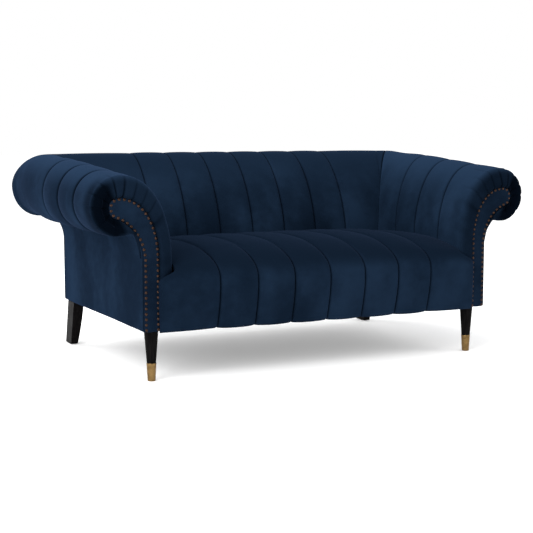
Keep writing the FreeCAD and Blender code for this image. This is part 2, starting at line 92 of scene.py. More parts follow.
middle = (0, 0, 0.4)
lamp("key", (-4.2, -2.8, 3.0), middle, 3.0, 200)
lamp("top", (-0.6, 0.6, 4.0), middle, 3.0, 120)
lamp("fill", (3.8, -3.0, 1.8), middle, 3.0, 60)
lamp("rear", (-2.5, 3.5, 2.6), middle, 3.0, 70)

scene.world = bpy.data.worlds.new("room")
scene.world.use_nodes = True
sky = scene.world.node_tree.nodes["Background"]
sky.inputs["Color"].default_value = (1, 1, 1, 1)
sky.inputs["Strength"].default_value = 1.0
print("made 4 lamps and a white room")

# %% [markdown]
# ## Finishes
# A finish is a Principled surface whose colour, roughness and bump come from noise and waves in object
# space, so they need no unwrapping. Two small classes keep the node work short: a wire is one output
# that can be added and multiplied like a number, and a finish makes any node with one method.


# %% Wires and finishes
class Wire:
    """One output of a node. The usual operators add Math nodes."""

    def __init__(self, finish, out):
        self.finish = finish
        self.out = out

    def math(self, operation, *values):
        return self.finish.node("ShaderNodeMath", {"operation": operation}, dict(enumerate(values)))

    def __add__(self, other):
        return self.math("ADD", self, other)

    def __radd__(self, other):
        return self.math("ADD", other, self)

    def __sub__(self, other):
        return self.math("SUBTRACT", self, other)

    def __rsub__(self, other):
        return self.math("SUBTRACT", other, self)

    def __mul__(self, other):
        return self.math("MULTIPLY", self, other)

    def __rmul__(self, other):
        return self.math("MULTIPLY", other, self)

    def __truediv__(self, other):
        return self.math("DIVIDE", self, other)

    def __pow__(self, other):
        return self.math("POWER", self, other)


class Finish:
    """A material with a Principled surface; keyword names are that surface's inputs."""

    def __init__(self, name, color, **inputs):
        self.material = bpy.data.materials.new(name)
        self.material.use_nodes = True
        self.tree = self.material.node_tree
        self.surface = self.tree.nodes["Principled BSDF"]
        self.surface.inputs["Base Color"].default_value = (*color, 1)
        self.material.diffuse_color = (*color, 1)
        for key, value in inputs.items():
            self.surface.inputs[key.replace("_", " ")].default_value = value

    def plug(self, value, socket):
        if isinstance(value, Wire):
            self.tree.links.new(value.out, socket)
        else:
            socket.default_value = value

    def node(self, kind, settings=None, inputs=None, out=0):
        """Any node: its settings first, then the values or wires of its inputs, then one output."""
        made = self.tree.nodes.new(kind)
        for key, value in (settings or {}).items():
            setattr(made, key, value)
        for key, value in (inputs or {}).items():
            self.plug(value, made.inputs[key])
        return Wire(self, made.outputs[out])

    def place(self, scale=(1, 1, 1), turn=(0, 0, 0)):
        """Object coordinates, scaled and turned."""
        here = self.node("ShaderNodeTexCoord", out="Object")
        return self.node("ShaderNodeMapping", None, {"Vector": here, "Scale": scale, "Rotation": turn})

    def noise(self, size, detail=3.0, scale=(1, 1, 1), rough=0.55):
        """Noise from 0 to 1 whose lumps are about size metres across."""
        return self.node("ShaderNodeTexNoise", None, {"Vector": self.place(scale), "Scale": 1 / size,
                                                      "Detail": detail, "Roughness": rough})

    def waves(self, size, axis, scale=(1, 1, 1), distortion=0.0):
        """Bands across one axis, size metres apart."""
        return self.node("ShaderNodeTexWave", {"bands_direction": axis},
                         {"Vector": self.place(scale), "Scale": pi / (10 * size), "Distortion": distortion},
                         out="Fac")

    def attribute(self, name):
        return self.node("ShaderNodeAttribute", {"attribute_name": name}, out="Fac")

    def between(self, value, low, high, start=0.0, end=1.0):
        """value from low to high becomes start to end, smoothly, and stays there outside."""
        return self.node("ShaderNodeMapRange", {"interpolation_type": "SMOOTHSTEP"},
                         {"Value": value, "From Min": low, "From Max": high,
                          "To Min": start, "To Max": end})

    def blend(self, factor, first, second):
        """A colour between two others; a plain colour is a tuple of three."""
        pick = [c if isinstance(c, Wire) else (*c, 1) for c in (first, second)]
        return self.node("ShaderNodeMix", {"data_type": "RGBA"}, {0: factor, 6: pick[0], 7: pick[1]}, out=2)

    def paint(self, color=None, roughness=None, height=None, depth=0.001, strength=1.0):
        """Feeds the surface: a colour, a roughness, and a height in units of depth metres."""
        if color is not None:
            self.plug(color, self.surface.inputs["Base Color"])
        if roughness is not None:
            self.plug(roughness, self.surface.inputs["Roughness"])
        if height is not None:
            bump = self.node("ShaderNodeBump", None,
                             {"Height": height, "Distance": depth, "Strength": strength})
            self.plug(bump, self.surface.inputs["Normal"])
        return self.material


# %% [markdown]
# Velvet is dark when the eye looks into the pile and pale where the pile lies on its side, so the
# surface has a blue sheen over a nearly black base. The base colour drifts between two blues in long
# patches, as pile that has been stroked. Shade and light are also painted into it: it goes near black
# in the seams, the pleats, the hollow by the scroll's tip, the facings, the borders and under the rolls,
# its up-facing parts are painted lighter on the arms and darker on the back and the seat, and the one
# cloth is given three tones, lit and shaded copies that are brighter on the arms and back and darker on
# the seat.

# %% Velvet
def velvet(name, dark, light, top_light_factor):
    """The colour where the cloth faces up is scaled by the last argument: painted light above 1, painted
    shade below 1.
    """
    f = Finish(name, dark, Roughness=0.75, Sheen_Weight=0.04, Sheen_Roughness=0.30,
               Sheen_Tint=(0.36, 0.52, 1.0, 1), Specular_IOR_Level=0.0)
    stroked = f.noise(0.22, 2.0, (1, 1, 0.45))
    brushed = f.noise(0.035, 2.0)
    pile = f.noise(0.0012, 2.0)
    nap = f.between(stroked * 0.8 + brushed * 0.2, 0.34, 0.68)
    blue = f.blend(nap, dark, light)
    fleck = f.between(pile, 0.3, 0.7, 0.0, 0.22)
    blue = f.blend(fleck, blue, tuple(1.5 * c for c in light))
    # Painted light and shade: up-facing surfaces take a blue scaled by the last argument, lighter above 1
    # and darker below 1.
    normal = f.node("ShaderNodeNewGeometry", out="Normal")
    rise = f.node("ShaderNodeSeparateXYZ", None, {"Vector": normal}, out="Z")
    painted_top_blue = tuple(top_light_factor * 0.5 * (a + b) for a, b in zip(dark, light))
    blue = f.blend(f.between(rise, 0.15, 0.95), blue, painted_top_blue)
    # Painted shade: the colour goes near black where the cover marked seams, pleats, hollows, edges and
    # borders.
    blue = f.blend(f.attribute("crease_shade") * 0.93, blue, tuple(0.12 * c for c in dark))
    height = pile * 0.35 + brushed * 0.9
    return f.paint(blue, f.between(nap, 0.0, 1.0, 0.82, 0.68), height, 0.0010, 0.5)


MIDNIGHT = (0.0026, 0.0058, 0.0122)
NAVY = (0.0064, 0.0140, 0.0285)
# Three lit and shaded copies of the one velvet, as painted light and shade: brightest for the arms, facings
# and outside panels, then the back, darkest on the seat.
lit_velvet = velvet("velvet", tuple(1.15 * c for c in MIDNIGHT), tuple(1.3 * c for c in NAVY), 1.6)
lit_back_velvet = velvet("lit_back_velvet", MIDNIGHT, tuple(1.35 * c for c in NAVY), 0.85)
shaded_seat_velvet = velvet("shaded_seat_velvet", MIDNIGHT, NAVY, 0.65)
print("made", lit_velvet.name, lit_back_velvet.name, shaded_seat_velvet.name)


# %% [markdown]
# The other finishes are ordinary ones: black-stained wood with a faint grain, brushed brass, antiqued
# bronze for the nails, raw softwood, jute, steel, foam, webbing, and black dust cloth.

# %% Wood, metal and cloth finishes
def stained_wood():
    f = Finish("black_wood", (0.005, 0.0045, 0.005), Roughness=0.42, Specular_IOR_Level=0.015)
    grain = f.noise(0.004, 4.0, (1, 1, 0.06))
    blotch = f.noise(0.05, 2.0)
    color = f.blend(f.between(grain, 0.35, 0.7), (0.0022, 0.0020, 0.0021), (0.006, 0.0053, 0.0053))
    return f.paint(color, f.between(grain * 0.6 + blotch * 0.4, 0.3, 0.7, 0.34, 0.5), grain, 0.0004, 0.5)


def satin_brass():
    f = Finish("brass", (0.52, 0.36, 0.15), Metallic=1.0, Roughness=0.30)
    rings = f.noise(0.0012, 2.0, (0.05, 0.05, 1))
    tarnish = f.noise(0.02, 3.0)
    color = f.blend(f.between(tarnish, 0.4, 0.75), (0.21, 0.132, 0.052), (0.12, 0.073, 0.028))
    return f.paint(color, f.between(rings * 0.6 + tarnish * 0.4, 0.3, 0.7, 0.22, 0.42), rings, 0.0002, 0.4)


def antique_bronze():
    f = Finish("antique_nail", (0.20, 0.10, 0.055), Metallic=0.85, Roughness=0.42)
    worn = f.noise(0.003, 3.0)
    color = f.blend(f.between(worn, 0.35, 0.7), (0.012, 0.006, 0.004), (0.062, 0.030, 0.018))
    return f.paint(color, f.between(worn, 0.3, 0.7, 0.34, 0.56), worn, 0.0005, 0.6)


def raw_wood(name, pale, dark, size):
    f = Finish(name, pale, Roughness=0.7)
    grain = f.noise(size, 4.0, (0.05, 1, 1))
    rays = f.waves(size * 5, "Z", (1, 1, 1), 6.0)
    color = f.blend(f.between(grain * 0.7 + rays * 0.3, 0.3, 0.7), dark, pale)
    return f.paint(color, f.between(grain, 0.3, 0.7, 0.6, 0.8), grain, 0.0006, 0.6)


def woven(name, pale, dark, pitch, rough=0.9):
    f = Finish(name, pale, Roughness=rough)
    warp = f.waves(pitch, "X", distortion=0.4)
    weft = f.waves(pitch, "Y", distortion=0.4)
    fuzz = f.noise(pitch * 2, 3.0)
    mesh = warp * weft + fuzz * 0.3
    color = f.blend(f.between(mesh, 0.1, 0.9), dark, pale)
    return f.paint(color, f.between(fuzz, 0.3, 0.7, rough - 0.1, rough), mesh, pitch * 0.5, 0.7)


def drawn_steel():
    f = Finish("spring_steel", (0.42, 0.42, 0.43), Metallic=1.0, Roughness=0.35)
    drawn = f.noise(0.004, 3.0)
    return f.paint(f.blend(drawn, (0.30, 0.30, 0.31), (0.52, 0.52, 0.53)),
                   f.between(drawn, 0.3, 0.7, 0.28, 0.45), drawn, 0.0003, 0.4)


def open_foam():
    f = Finish("foam", (0.80, 0.74, 0.55), Roughness=0.95)
    cells = f.noise(0.003, 3.0)
    return f.paint(f.blend(cells, (0.66, 0.58, 0.38), (0.86, 0.81, 0.64)), None, cells, 0.0015, 0.8)


def moulded_nylon():
    f = Finish("nylon", (0.02, 0.02, 0.02), Roughness=0.5)
    grain = f.noise(0.0012, 2.0)
    return f.paint(f.blend(grain, (0.014, 0.014, 0.014), (0.03, 0.03, 0.03)),
                   f.between(grain, 0.3, 0.7, 0.42, 0.58), grain, 0.0002, 0.5)


finishes = {
    "velvet": lit_velvet,
    "lit_back_velvet": lit_back_velvet,
    "shaded_seat_velvet": shaded_seat_velvet,
    "foam": open_foam(),
    "frame_wood": raw_wood("frame_wood", (0.60, 0.42, 0.24), (0.42, 0.26, 0.13), 0.006),
    "lining_board": raw_wood("lining_board", (0.36, 0.25, 0.15), (0.24, 0.16, 0.09), 0.002),
    "webbing": woven("webbing", (0.035, 0.035, 0.038), (0.012, 0.012, 0.013), 0.0022),
    "hessian": woven("hessian", (0.44, 0.33, 0.19), (0.20, 0.14, 0.08), 0.0018),
    "spring_steel": drawn_steel(),
    "dust_cloth": woven("dust_cloth", (0.022, 0.022, 0.023), (0.006, 0.006, 0.006), 0.0016),
    "antique_nail": antique_bronze(),
    "black_wood": stained_wood(),
    "brass": satin_brass(),
    "nylon": moulded_nylon(),
}

slot_of = {part["node"]: part["material_slot"] for part in frame["record"]["subparts"]}
for name, node in nodes.items():
    node.data.materials.clear()
    node.data.materials.append(finishes[slot_of[name]])
print("finishes on", len(nodes), "CAD nodes")

# %% [markdown]
# ## Floor
# A pale matt sheet that glows a little, as a lit product table does, so that shadows stay soft. It is
# large enough for its far edge to vanish in the white of the room.

# %% Floor
FLOOR_HALF = 30

shape = bmesh.new()
bmesh.ops.create_grid(shape, x_segments=4, y_segments=4, size=FLOOR_HALF)
floor_mesh = bpy.data.meshes.new("floor")
shape.to_mesh(floor_mesh)
shape.free()
floor = bpy.data.objects.new("floor", floor_mesh)
scene.collection.objects.link(floor)
paper = Finish("floor_paper", (0.93, 0.93, 0.93), Roughness=0.9, Emission_Color=(1, 1, 1, 1),
               Emission_Strength=0.25)
paper.paint(paper.blend(paper.noise(0.4), (0.92, 0.92, 0.92), (0.95, 0.95, 0.95)))
floor_mesh.materials.append(paper.material)
print("floor", 2 * FLOOR_HALF, "m square")

# %% [markdown]
# ## The lines of the upholstery
# An arm and the back have the same kind of cross-section: up from the seat, leaning over to the crest,
# round the roll to its lowest point, and under it to the seam of the outside panel, which turns down
# again. The arms change from a small roll in front to the larger one at the mitre. The covers follow the
# CAD's foam and panels, but the channels are fuller, the outside panels stand 4 mm proud, and the arms sink
# below their foam by up to ARM_SAG.

# %% Cross-sections
Section = namedtuple("Section", "foot_h foot_z lean_h lean_z pull_h crest_h crest_z out_h low_h roll_h")
FRONT = Section(0.588, 0.430, 0.588, 0.568, 0.655, 0.763, 0.712, 0.867, 0.763, 0.100)
REAR = Section(0.579, 0.420, 0.593, 0.580, 0.675, 0.775, 0.756, 0.866, 0.765, 0.121)
BACK = Section(0.099, 0.420, 0.116, 0.580, 0.234, 0.352, 0.756, 0.542, 0.457, 0.121)
OUT_X = 0.695              # outside face of the arms
FACE_Y = -0.497
ARM_REAR_Y = 0.099         # behind this the arm's section no longer changes
REAR_Y = 0.404
COVE_Z = 0.425
SEAM_IN = 0.025
BODY_LOW_Z = 0.176
TUCK_Z = 0.335

# Where each stretch of a covered line ends, from the hidden foot (0) to the hidden end (1).
FOOT_V, CREST_V, OUT_V, LOW_V, SEAM_V = 0.08, 0.50, 0.73, 0.87, 0.90


def bezier(t, *points):
    """A point on the Bezier curve through 2-D or 3-D control points."""
    ring = [Vector(p) for p in points]
    while len(ring) > 1:
        ring = [a.lerp(b, t) for a, b in zip(ring, ring[1:])]
    return ring[0]


def mix(a, b, t):
    return a + (b - a) * t


def smooth(x, low, high):
    """0 below low, 1 above high, smoothly between."""
    t = min(1.0, max(0.0, (x - low) / (high - low)))
    return t * t * (3 - 2 * t)


def section_at(y):
    """The arm's section at a depth of the sofa."""
    t = min(1.0, max(0.0, (y - FACE_Y) / (ARM_REAR_Y - FACE_Y)))
    return Section(*(mix(a, b, t) for a, b in zip(FRONT, REAR)))


def cove_point(s, out, t):
    """From the seam under a roll (0) in and down to where the panel becomes upright (1)."""
    seam = (s.low_h - SEAM_IN, s.crest_z - 2 * s.roll_h - 0.001)
    return bezier(t, seam, (seam[0] - 0.016, seam[1]), (out + 0.002, COVE_Z + 0.053), (out, COVE_Z))


def roll_point(s, out, v):
    """A point (h, z) of the covered line, v from 0 at its hidden foot to 1 at its hidden end."""
    mid_z = s.crest_z - s.roll_h
    low_z = s.crest_z - 2 * s.roll_h
    if v <= FOOT_V:
        return Vector((s.foot_h, mix(TUCK_Z, s.foot_z, v / FOOT_V)))
    if v <= CREST_V:
        t = (v - FOOT_V) / (CREST_V - FOOT_V)
        foot, crest = (s.foot_h, s.foot_z), (s.crest_h, s.crest_z)
        return bezier(t, foot, (s.lean_h, s.lean_z), (s.pull_h, s.crest_z), crest)
    if v <= OUT_V:
        turn = (v - CREST_V) / (OUT_V - CREST_V) * pi / 2
        return Vector((mix(s.crest_h, s.out_h, sin(turn)), mid_z + s.roll_h * cos(turn)))
    if v <= LOW_V:
        turn = (v - OUT_V) / (LOW_V - OUT_V) * pi / 2
        return Vector((mix(s.low_h, s.out_h, cos(turn)), mid_z - s.roll_h * sin(turn)))
    if v <= SEAM_V:
        return Vector((s.low_h - SEAM_IN * (v - LOW_V) / (SEAM_V - LOW_V), low_z))
    hidden = cove_point(s, out, (v - SEAM_V) / (1 - SEAM_V))
    return hidden - Vector((0.004, -0.002))


print("front section crest", roll_point(FRONT, OUT_X, CREST_V))

# %% [markdown]
# ## From a grid to a cover
# A cover is a bmesh grid whose columns run across the channels and whose rows run along them. The
# columns crowd together at the seams and the rows at the pleats, because that is where the cloth
# turns sharply. Each grid point is moved to its place by a function, then pushed out along its
# normal where the wadding is and in where the thread is.

# %% Stations and grids
SEAM_STEPS = (0.0, 0.010, 0.022, 0.040, 0.075, 0.14, 0.23, 0.35)
PLEAT_STEPS = (0.0, 0.07, 0.17, 0.32)


def stations(knots, steps):
    """Values that crowd towards every knot: a fraction of each gap from both of its ends."""
    found = []
    for low, high in zip(knots, knots[1:]):
        found += [mix(low, high, f) for f in steps] + [mix(low, high, 0.5)]
        found += [mix(low, high, 1 - f) for f in reversed(steps[1:])]
    return found + [knots[-1]]


def cover(name, columns, rows, place, finish="velvet"):
    """A grid with a column for each of columns and a row for each of rows, put in place by
    place(column, row), which returns a point, how far it is pushed out, and how much painted shade
    darkens it there."""
    bm = bmesh.new()
    wide, high = len(columns) - 1, len(rows) - 1
    bmesh.ops.create_grid(bm, x_segments=wide, y_segments=high, size=0.5)
    # Painted shade: this layer darkens the velvet's colour where it is high.
    crease_shade = bm.verts.layers.float.new("crease_shade")
    pushes = {}
    for vert in bm.verts:
        u = columns[round((vert.co.x + 0.5) * wide)]
        v = rows[round((vert.co.y + 0.5) * high)]
        vert.co, pushes[vert], vert[crease_shade] = place(u, v)
    bm.normal_update()
    moved = {vert: vert.co + vert.normal * push for vert, push in pushes.items()}
    for vert, co in moved.items():
        vert.co = co
    mesh = bpy.data.meshes.new(name)
    bm.to_mesh(mesh)
    bm.free()
    mesh.materials.append(finishes[finish])
    made = bpy.data.objects.new(name, mesh)
    scene.collection.objects.link(made)
    mesh.shade_smooth()
    return made


CROWN = 0.008              # how proud a stuffed channel stands
STITCH = 0.006             # how deep its seams are drawn in


def channel(f, width, seam=0.0020):
    """Push and painted seam shade inside one channel: f runs from seam to seam, 0 to 1, and seam is half
    as wide as the painted dark line of shade along the stitching."""
    near = min(f, 1 - f) * width
    return CROWN * (4 * f * (1 - f)) ** 0.7 - STITCH * exp(-(near / 0.0045) ** 2), exp(-(near / seam) ** 2)


def fullness(v):
    """How full the channels are at v: they flatten where the cloth is pulled over the crest."""
    return 1 - 0.6 * exp(-((v - CREST_V) / 0.13) ** 2)


def settled(v):
    """0 at the hidden ends of a covered line and 1 between them, so that the channels run out."""
    return smooth(v, 0.02, FOOT_V + 0.06) * (1 - smooth(v, SEAM_V - 0.09, SEAM_V))


def thicken(piece, depth):
    """Closes a cover with a wall behind it, and rounds it off with one subdivision."""
    wall = piece.modifiers.new("wall", "SOLIDIFY")
    wall.thickness = depth
    wall.offset = -1
    soft = piece.modifiers.new("soft", "SUBSURF")
    soft.levels = soft.render_levels = 1


def dress(piece, slot, *stands_for):
    """Rides on the one body and hides the CAD nodes; slot is not used."""
    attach(piece, "root")
    if stands_for:
        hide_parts(*stands_for)
    print(piece.name, "faces", len(piece.data.polygons))


# %% [markdown]
# ## The back
# The inside back runs from mitre to mitre in eight channels. At the mitre it meets the arms on a line
# that both sections share, and the corner is rounded more and more towards the outside of the roll.

# %% Plan of the corner
CORNER_SWELL = 0.022       # the corner of the roll is stuffed fuller than its straight runs
ARM_SAG = 0.011            # an arm's cover sinks this far below the CAD's foam


def arm_sag(v, y):
    """How far the cloth of an arm sinks at depth y, from nothing at the mitre."""
    return ARM_SAG * (1 - smooth(y, 0.18, 0.35)) * smooth(v, 0.22, CREST_V) * (1 - smooth(v, LOW_V, SEAM_V))


def corner_radius(v):
    """How far from the mitre a cover starts to turn the corner."""
    inside = 0.004 + 0.052 * smooth(v, 0.25, CREST_V)
    return inside + 0.020 * smooth(v, CREST_V, OUT_V) - 0.036 * smooth(v, OUT_V, LOW_V)


def corner(v, t):
    """Round the right-hand corner at height v: t from -1 on the back's line to 1 on the arm's."""
    out = roll_point(REAR, OUT_X, v)
    back = roll_point(BACK, REAR_Y, v)
    r = corner_radius(v)
    swell = CORNER_SWELL * smooth(v, 0.55, OUT_V) * (1 - smooth(v, 0.83, SEAM_V))
    tip = (out.x + swell, back.x + swell)
    point = bezier((t + 1) / 2, (out.x - r, back.x), tip, (out.x, back.x - r))
    return Vector((point.x, point.y, back.y - 0.3 * swell - arm_sag(v, point.y)))


# %% Inside back
CHANNEL = 0.142
BACK_SEAMS = [CHANNEL * i for i in range(-3, 4)]
MITRE_U = 0.60
TURN_U = 0.54
back_columns = stations([-TURN_U] + BACK_SEAMS + [TURN_U], SEAM_STEPS)
turn_columns = [mix(TURN_U, MITRE_U, i / 8) for i in range(1, 9)]
back_columns = [-u for u in reversed(turn_columns)] + back_columns + turn_columns
PLEATS = [0.235 + 0.062 * i for i in range(11)]
roll_rows = [i / 60 for i in range(13)] + stations(PLEATS, PLEAT_STEPS)
roll_rows += [0.88, 0.90, 0.92, 0.94, 0.96, 0.98, 1.0]


def back_place(u, v):
    side = 1 if u >= 0 else -1
    back = roll_point(BACK, REAR_Y, v)
    reach = roll_point(REAR, OUT_X, v).x - corner_radius(v)
    if abs(u) > TURN_U:
        t = (abs(u) - TURN_U) / (MITRE_U - TURN_U)
        point = corner(v, t - 1)
        near = (1 - t) * (corner_radius(v) + 0.012)
        # Painted shade along the mitre, wider on the back's side.
        mitre_shade = exp(-(near / 0.007) ** 2) * (1 - 0.7 * smooth(v, 0.45, 0.6))
        return Vector((side * point.x, point.y, point.z)), 0.0, mitre_shade
    last = BACK_SEAMS[-1]
    if abs(u) > last:
        f = (abs(u) - last) / (TURN_U - last)
        x = mix(last, reach, f)
        push, crease_shade = channel(f * 0.5, 2 * (reach - last))
        push = mix(push, 0.0, f * f)
    else:
        x = abs(u)
        f = (u / CHANNEL) % 1.0
        push, crease_shade = channel(f, CHANNEL)
    push *= fullness(v)
    settle = settled(v)
    # The third value is painted shade along the seams.
    return Vector((side * x, back.x, back.y)), push * settle, crease_shade * settle


inside_back = cover("inside_back", back_columns, roll_rows, back_place, "lit_back_velvet")
thicken(inside_back, 0.03)
dress(inside_back, "velvet", "inside_back_cover", "back_foam")

# %% [markdown]
# ## The arms
# An arm cover has three seams that fan out towards the front, and its last channel wraps over the
# plywood former and is pleated in to the edge of the nailed facing.

# %% Facing outline
FACING_IN, FACING_OUT = 0.633, 0.694
FACING_TOP, FACING_TIP, FACING_CHIN = (0.773, 0.633), (0.809, 0.597), (0.790, 0.562)


def facing_point(v):
    """The facing's edge nearest to the point v of the arm's front section."""
    if v <= FOOT_V:
        return Vector((FACING_IN, mix(TUCK_Z, 0.430, v / FOOT_V)))
    if v <= CREST_V:
        t = (v - FOOT_V) / (CREST_V - FOOT_V)
        return bezier(t, (FACING_IN, 0.430), (FACING_IN, 0.545), (0.690, 0.633), FACING_TOP)
    if v <= OUT_V:
        t = (v - CREST_V) / (OUT_V - CREST_V)
        return bezier(t, FACING_TOP, (0.794, 0.633), (0.809, 0.618), FACING_TIP)
    if v <= LOW_V:
        t = (v - OUT_V) / (LOW_V - OUT_V)
        return bezier(t, FACING_TIP, (0.809, 0.578), (0.802, 0.567), FACING_CHIN)
    t = (v - LOW_V) / (1 - LOW_V)
    return bezier(t, FACING_CHIN, (0.740, 0.545), (0.696, 0.502), (FACING_OUT, COVE_Z))


# %% Arm covers
# Columns run from 0 at the mitre. The corner ends at 1, seams stand at 2, 3 and 4, and the front edge
# starts to turn at 5, reaches the front plane at 6 and the facing at 7.
TURN_C, EDGE_C, PLANE_C, FACING_C = 1, 5, 6, 7
arm_columns = [i / 8 for i in range(8)] + stations([1, 2, 3, 4, 5], SEAM_STEPS)
arm_columns += [5 + i / 6 for i in range(1, 7)] + [6 + i / 10 for i in range(1, 11)]
SEAM_Y_FOOT = (-0.050, -0.180, -0.340)
SEAM_Y_CREST = (0.050, -0.125, -0.300)
SEAM_Y_OUT = (0.100, -0.097, -0.283)
LONG_PLEAT = PLEATS[3]     # one pleat runs on over the inside of the arm as a loose fold
EDGE_Y = FACE_Y + 0.024
FRONT_ROUND = 0.030        # radius of the padded front edge
PROUD_Y = FACE_Y - 0.008
BORDER_TUCK = 0.004        # how far the border's edge runs under the facing


HOLLOW = 0.018             # how far the border sinks in beside the tip of the scroll


def hollow(v):
    """1 where the border sinks in, beside and under the scroll's tip; the same mask paints shade there."""
    return smooth(v, 0.54, 0.66) * (1 - smooth(v, 0.86, 0.90))


def seam_y(i, v):
    if v < CREST_V:
        return mix(SEAM_Y_FOOT[i], SEAM_Y_CREST[i], smooth(v, -0.1, CREST_V + 0.1))
    return mix(SEAM_Y_CREST[i], SEAM_Y_OUT[i], smooth(v, CREST_V - 0.1, 1.0))


def arm_line(v, y):
    point = roll_point(section_at(y), OUT_X, v)
    return Vector((point.x, y, point.y - arm_sag(v, y)))


def pleat(v):
    """How deep the nearest pleat is here, 1 in its fold, and how much cloth stands beside it."""
    if v < PLEATS[0] - 0.03 or v > PLEATS[-1] + 0.03:
        return 0.0, 0.0
    gap = PLEATS[1] - PLEATS[0]
    f = ((v - PLEATS[0]) / gap) % 1.0
    near = min(f, 1 - f) * gap
    strength = 0.45 + 0.55 * smooth(v, 0.38, 0.52)
    return strength * exp(-(near / 0.0045) ** 2), strength * (4 * f * (1 - f)) ** 0.8


def arm_place(u, v):
    settle = settled(v)
    if u < TURN_C:
        point = corner(v, u)
        near = u * (corner_radius(v) + 0.012)
        # Painted shade along the mitre, a narrow line on the arm's side.
        mitre_shade = exp(-(near / 0.0025) ** 2) * (1 - 0.7 * smooth(v, 0.45, 0.6))
        return point, 0.0, mitre_shade
    if u <= EDGE_C:
        i = min(3, int(u - TURN_C))
        f = u - TURN_C - i
        start = roll_point(BACK, REAR_Y, v).x - corner_radius(v)
        marks = [start] + [seam_y(k, v) for k in range(3)] + [EDGE_Y]
        y = mix(marks[i], marks[i + 1], f)
        width = marks[i] - marks[i + 1]
        # The painted dark line of seam shade widens towards the roll.
        seam = mix(0.0028, 0.0080, smooth(v, 0.45, 0.65))
        push, crease_shade = channel(f, width, seam)
        if i == 0:
            push, crease_shade = channel(0.5 + 0.5 * f, 2 * width, seam)
            push = mix(0.0, push, smooth(f, 0.0, 0.6))
        if i == 3:
            push, crease_shade = channel(f * 0.5, 2 * width, seam)
            fold, puff = pleat(v)
            loose = exp(-((v - LONG_PLEAT) / 0.012) ** 2)
            reach = smooth(f, mix(0.66, 0.30, loose), mix(1.0, 0.75, loose))
            push = mix(push, 0.004, reach) + reach * (0.001 * puff - 0.002 * (1 + loose) * fold)
            # Painted shade in the pleat folds and in the hollow beside the scroll's tip.
            crease_shade = max(crease_shade, 0.3 * fold * reach, 0.75 * hollow(v) * smooth(f, 0.55, 0.95))
        return arm_line(v, y), push * fullness(v) * settle, crease_shade * settle
    rim = arm_line(v, EDGE_Y).xz
    tip = facing_point(v)
    width = (rim - tip).length
    radius = min(FRONT_ROUND, 0.5 * width)
    fold, puff = pleat(v)
    if u <= PLANE_C:
        turn = (u - EDGE_C) * pi / 2
        inward = radius * (1 - cos(turn))
        y = mix(EDGE_Y, PROUD_Y, sin(turn))
        reach = mix(0.5, 0.8, u - EDGE_C)
    else:
        f = u - PLANE_C
        inward = mix(radius, width + BORDER_TUCK, f)
        y = PROUD_Y - 0.003 * sin(pi * f) + 0.014 * smooth(f, 0.72, 1.0)
        y += HOLLOW * hollow(v) * sin(pi * f ** 0.8)
        reach = mix(0.8, 1.0, f)
    point = rim.lerp(tip, inward / max(width, 1e-6))
    push = 0.004 * (1 - smooth(u, EDGE_C, PLANE_C)) + reach * (0.002 * puff - 0.0045 * fold)
    push *= smooth(width, 0.0, 0.03)
    y = mix(y, FACE_Y + 0.014, smooth(v, 0.92, 0.99))
    # Painted shade on the border: in the pleat folds, over the rounded front edge and front plane, next to
    # the facing, and in the hollow by the scroll's tip.
    shade = 0.5 * fold * reach + 0.6 * smooth(u, FACING_C - 0.12, FACING_C)
    shade += 0.6 * smooth(u, EDGE_C - 0.05, PLANE_C - 0.2)
    shade += hollow(v) * smooth(u, EDGE_C - 0.3, PLANE_C - 0.2)
    return Vector((point.x, y, point.y)), push, min(1.0, shade)


def flip(place):
    """The same cover on the -X side."""
    def mirrored_place(u, v):
        point, push, crease_shade = place(-u, v)
        return Vector((-point.x, point.y, point.z)), push, crease_shade
    return mirrored_place


right_arm = cover("right_arm", arm_columns, roll_rows, arm_place)
left_arm = cover("left_arm", [-u for u in reversed(arm_columns)], roll_rows, flip(arm_place))
for side, arm in (("right", right_arm), ("left", left_arm)):
    thicken(arm, 0.005)
    dress(arm, "velvet", side + "_inside_arm_cover", side + "_arm_foam", side + "_front_border")

# %% [markdown]
# ## The seat
# The seat is one crowned pad: it dips where it meets the back, swells over the springs, rounds the
# nose and runs down the front in one piece, wider below the arms than between them.

# %% Seat
SEAT_HALF, FRONT_HALF = 0.580, 0.635
WING_ROUND = 0.045         # the front turns back over this width at each end, to meet the facings
SEAT_SEAMS = [CHANNEL * i for i in range(-3, 4)]
seat_columns = stations([-SEAT_HALF] + SEAT_SEAMS + [SEAT_HALF], SEAM_STEPS)
seat_rows = [1 - i / 84 for i in range(85)]


def seat_line(v):
    """(y, z) from the hidden rear edge, over the crown and the nose, to the hidden lower edge."""
    if v < 0.04:
        return bezier(v / 0.04, (0.108, 0.395), (0.106, 0.425), (0.096, 0.432))
    if v < 0.54:
        return bezier((v - 0.04) / 0.50, (0.096, 0.432), (-0.014, 0.452), (-0.214, 0.466), (-0.364, 0.444))
    if v < 0.76:
        return bezier((v - 0.54) / 0.22, (-0.364, 0.444), (-0.454, 0.427), (-0.537, 0.400), (-0.540, 0.345))
    if v < 0.96:
        return bezier((v - 0.76) / 0.20, (-0.540, 0.345), (-0.546, 0.300), (-0.531, 0.240), (-0.513, 0.180))
    return bezier((v - 0.96) / 0.04, (-0.513, 0.180), (-0.510, 0.171), (-0.465, 0.174))


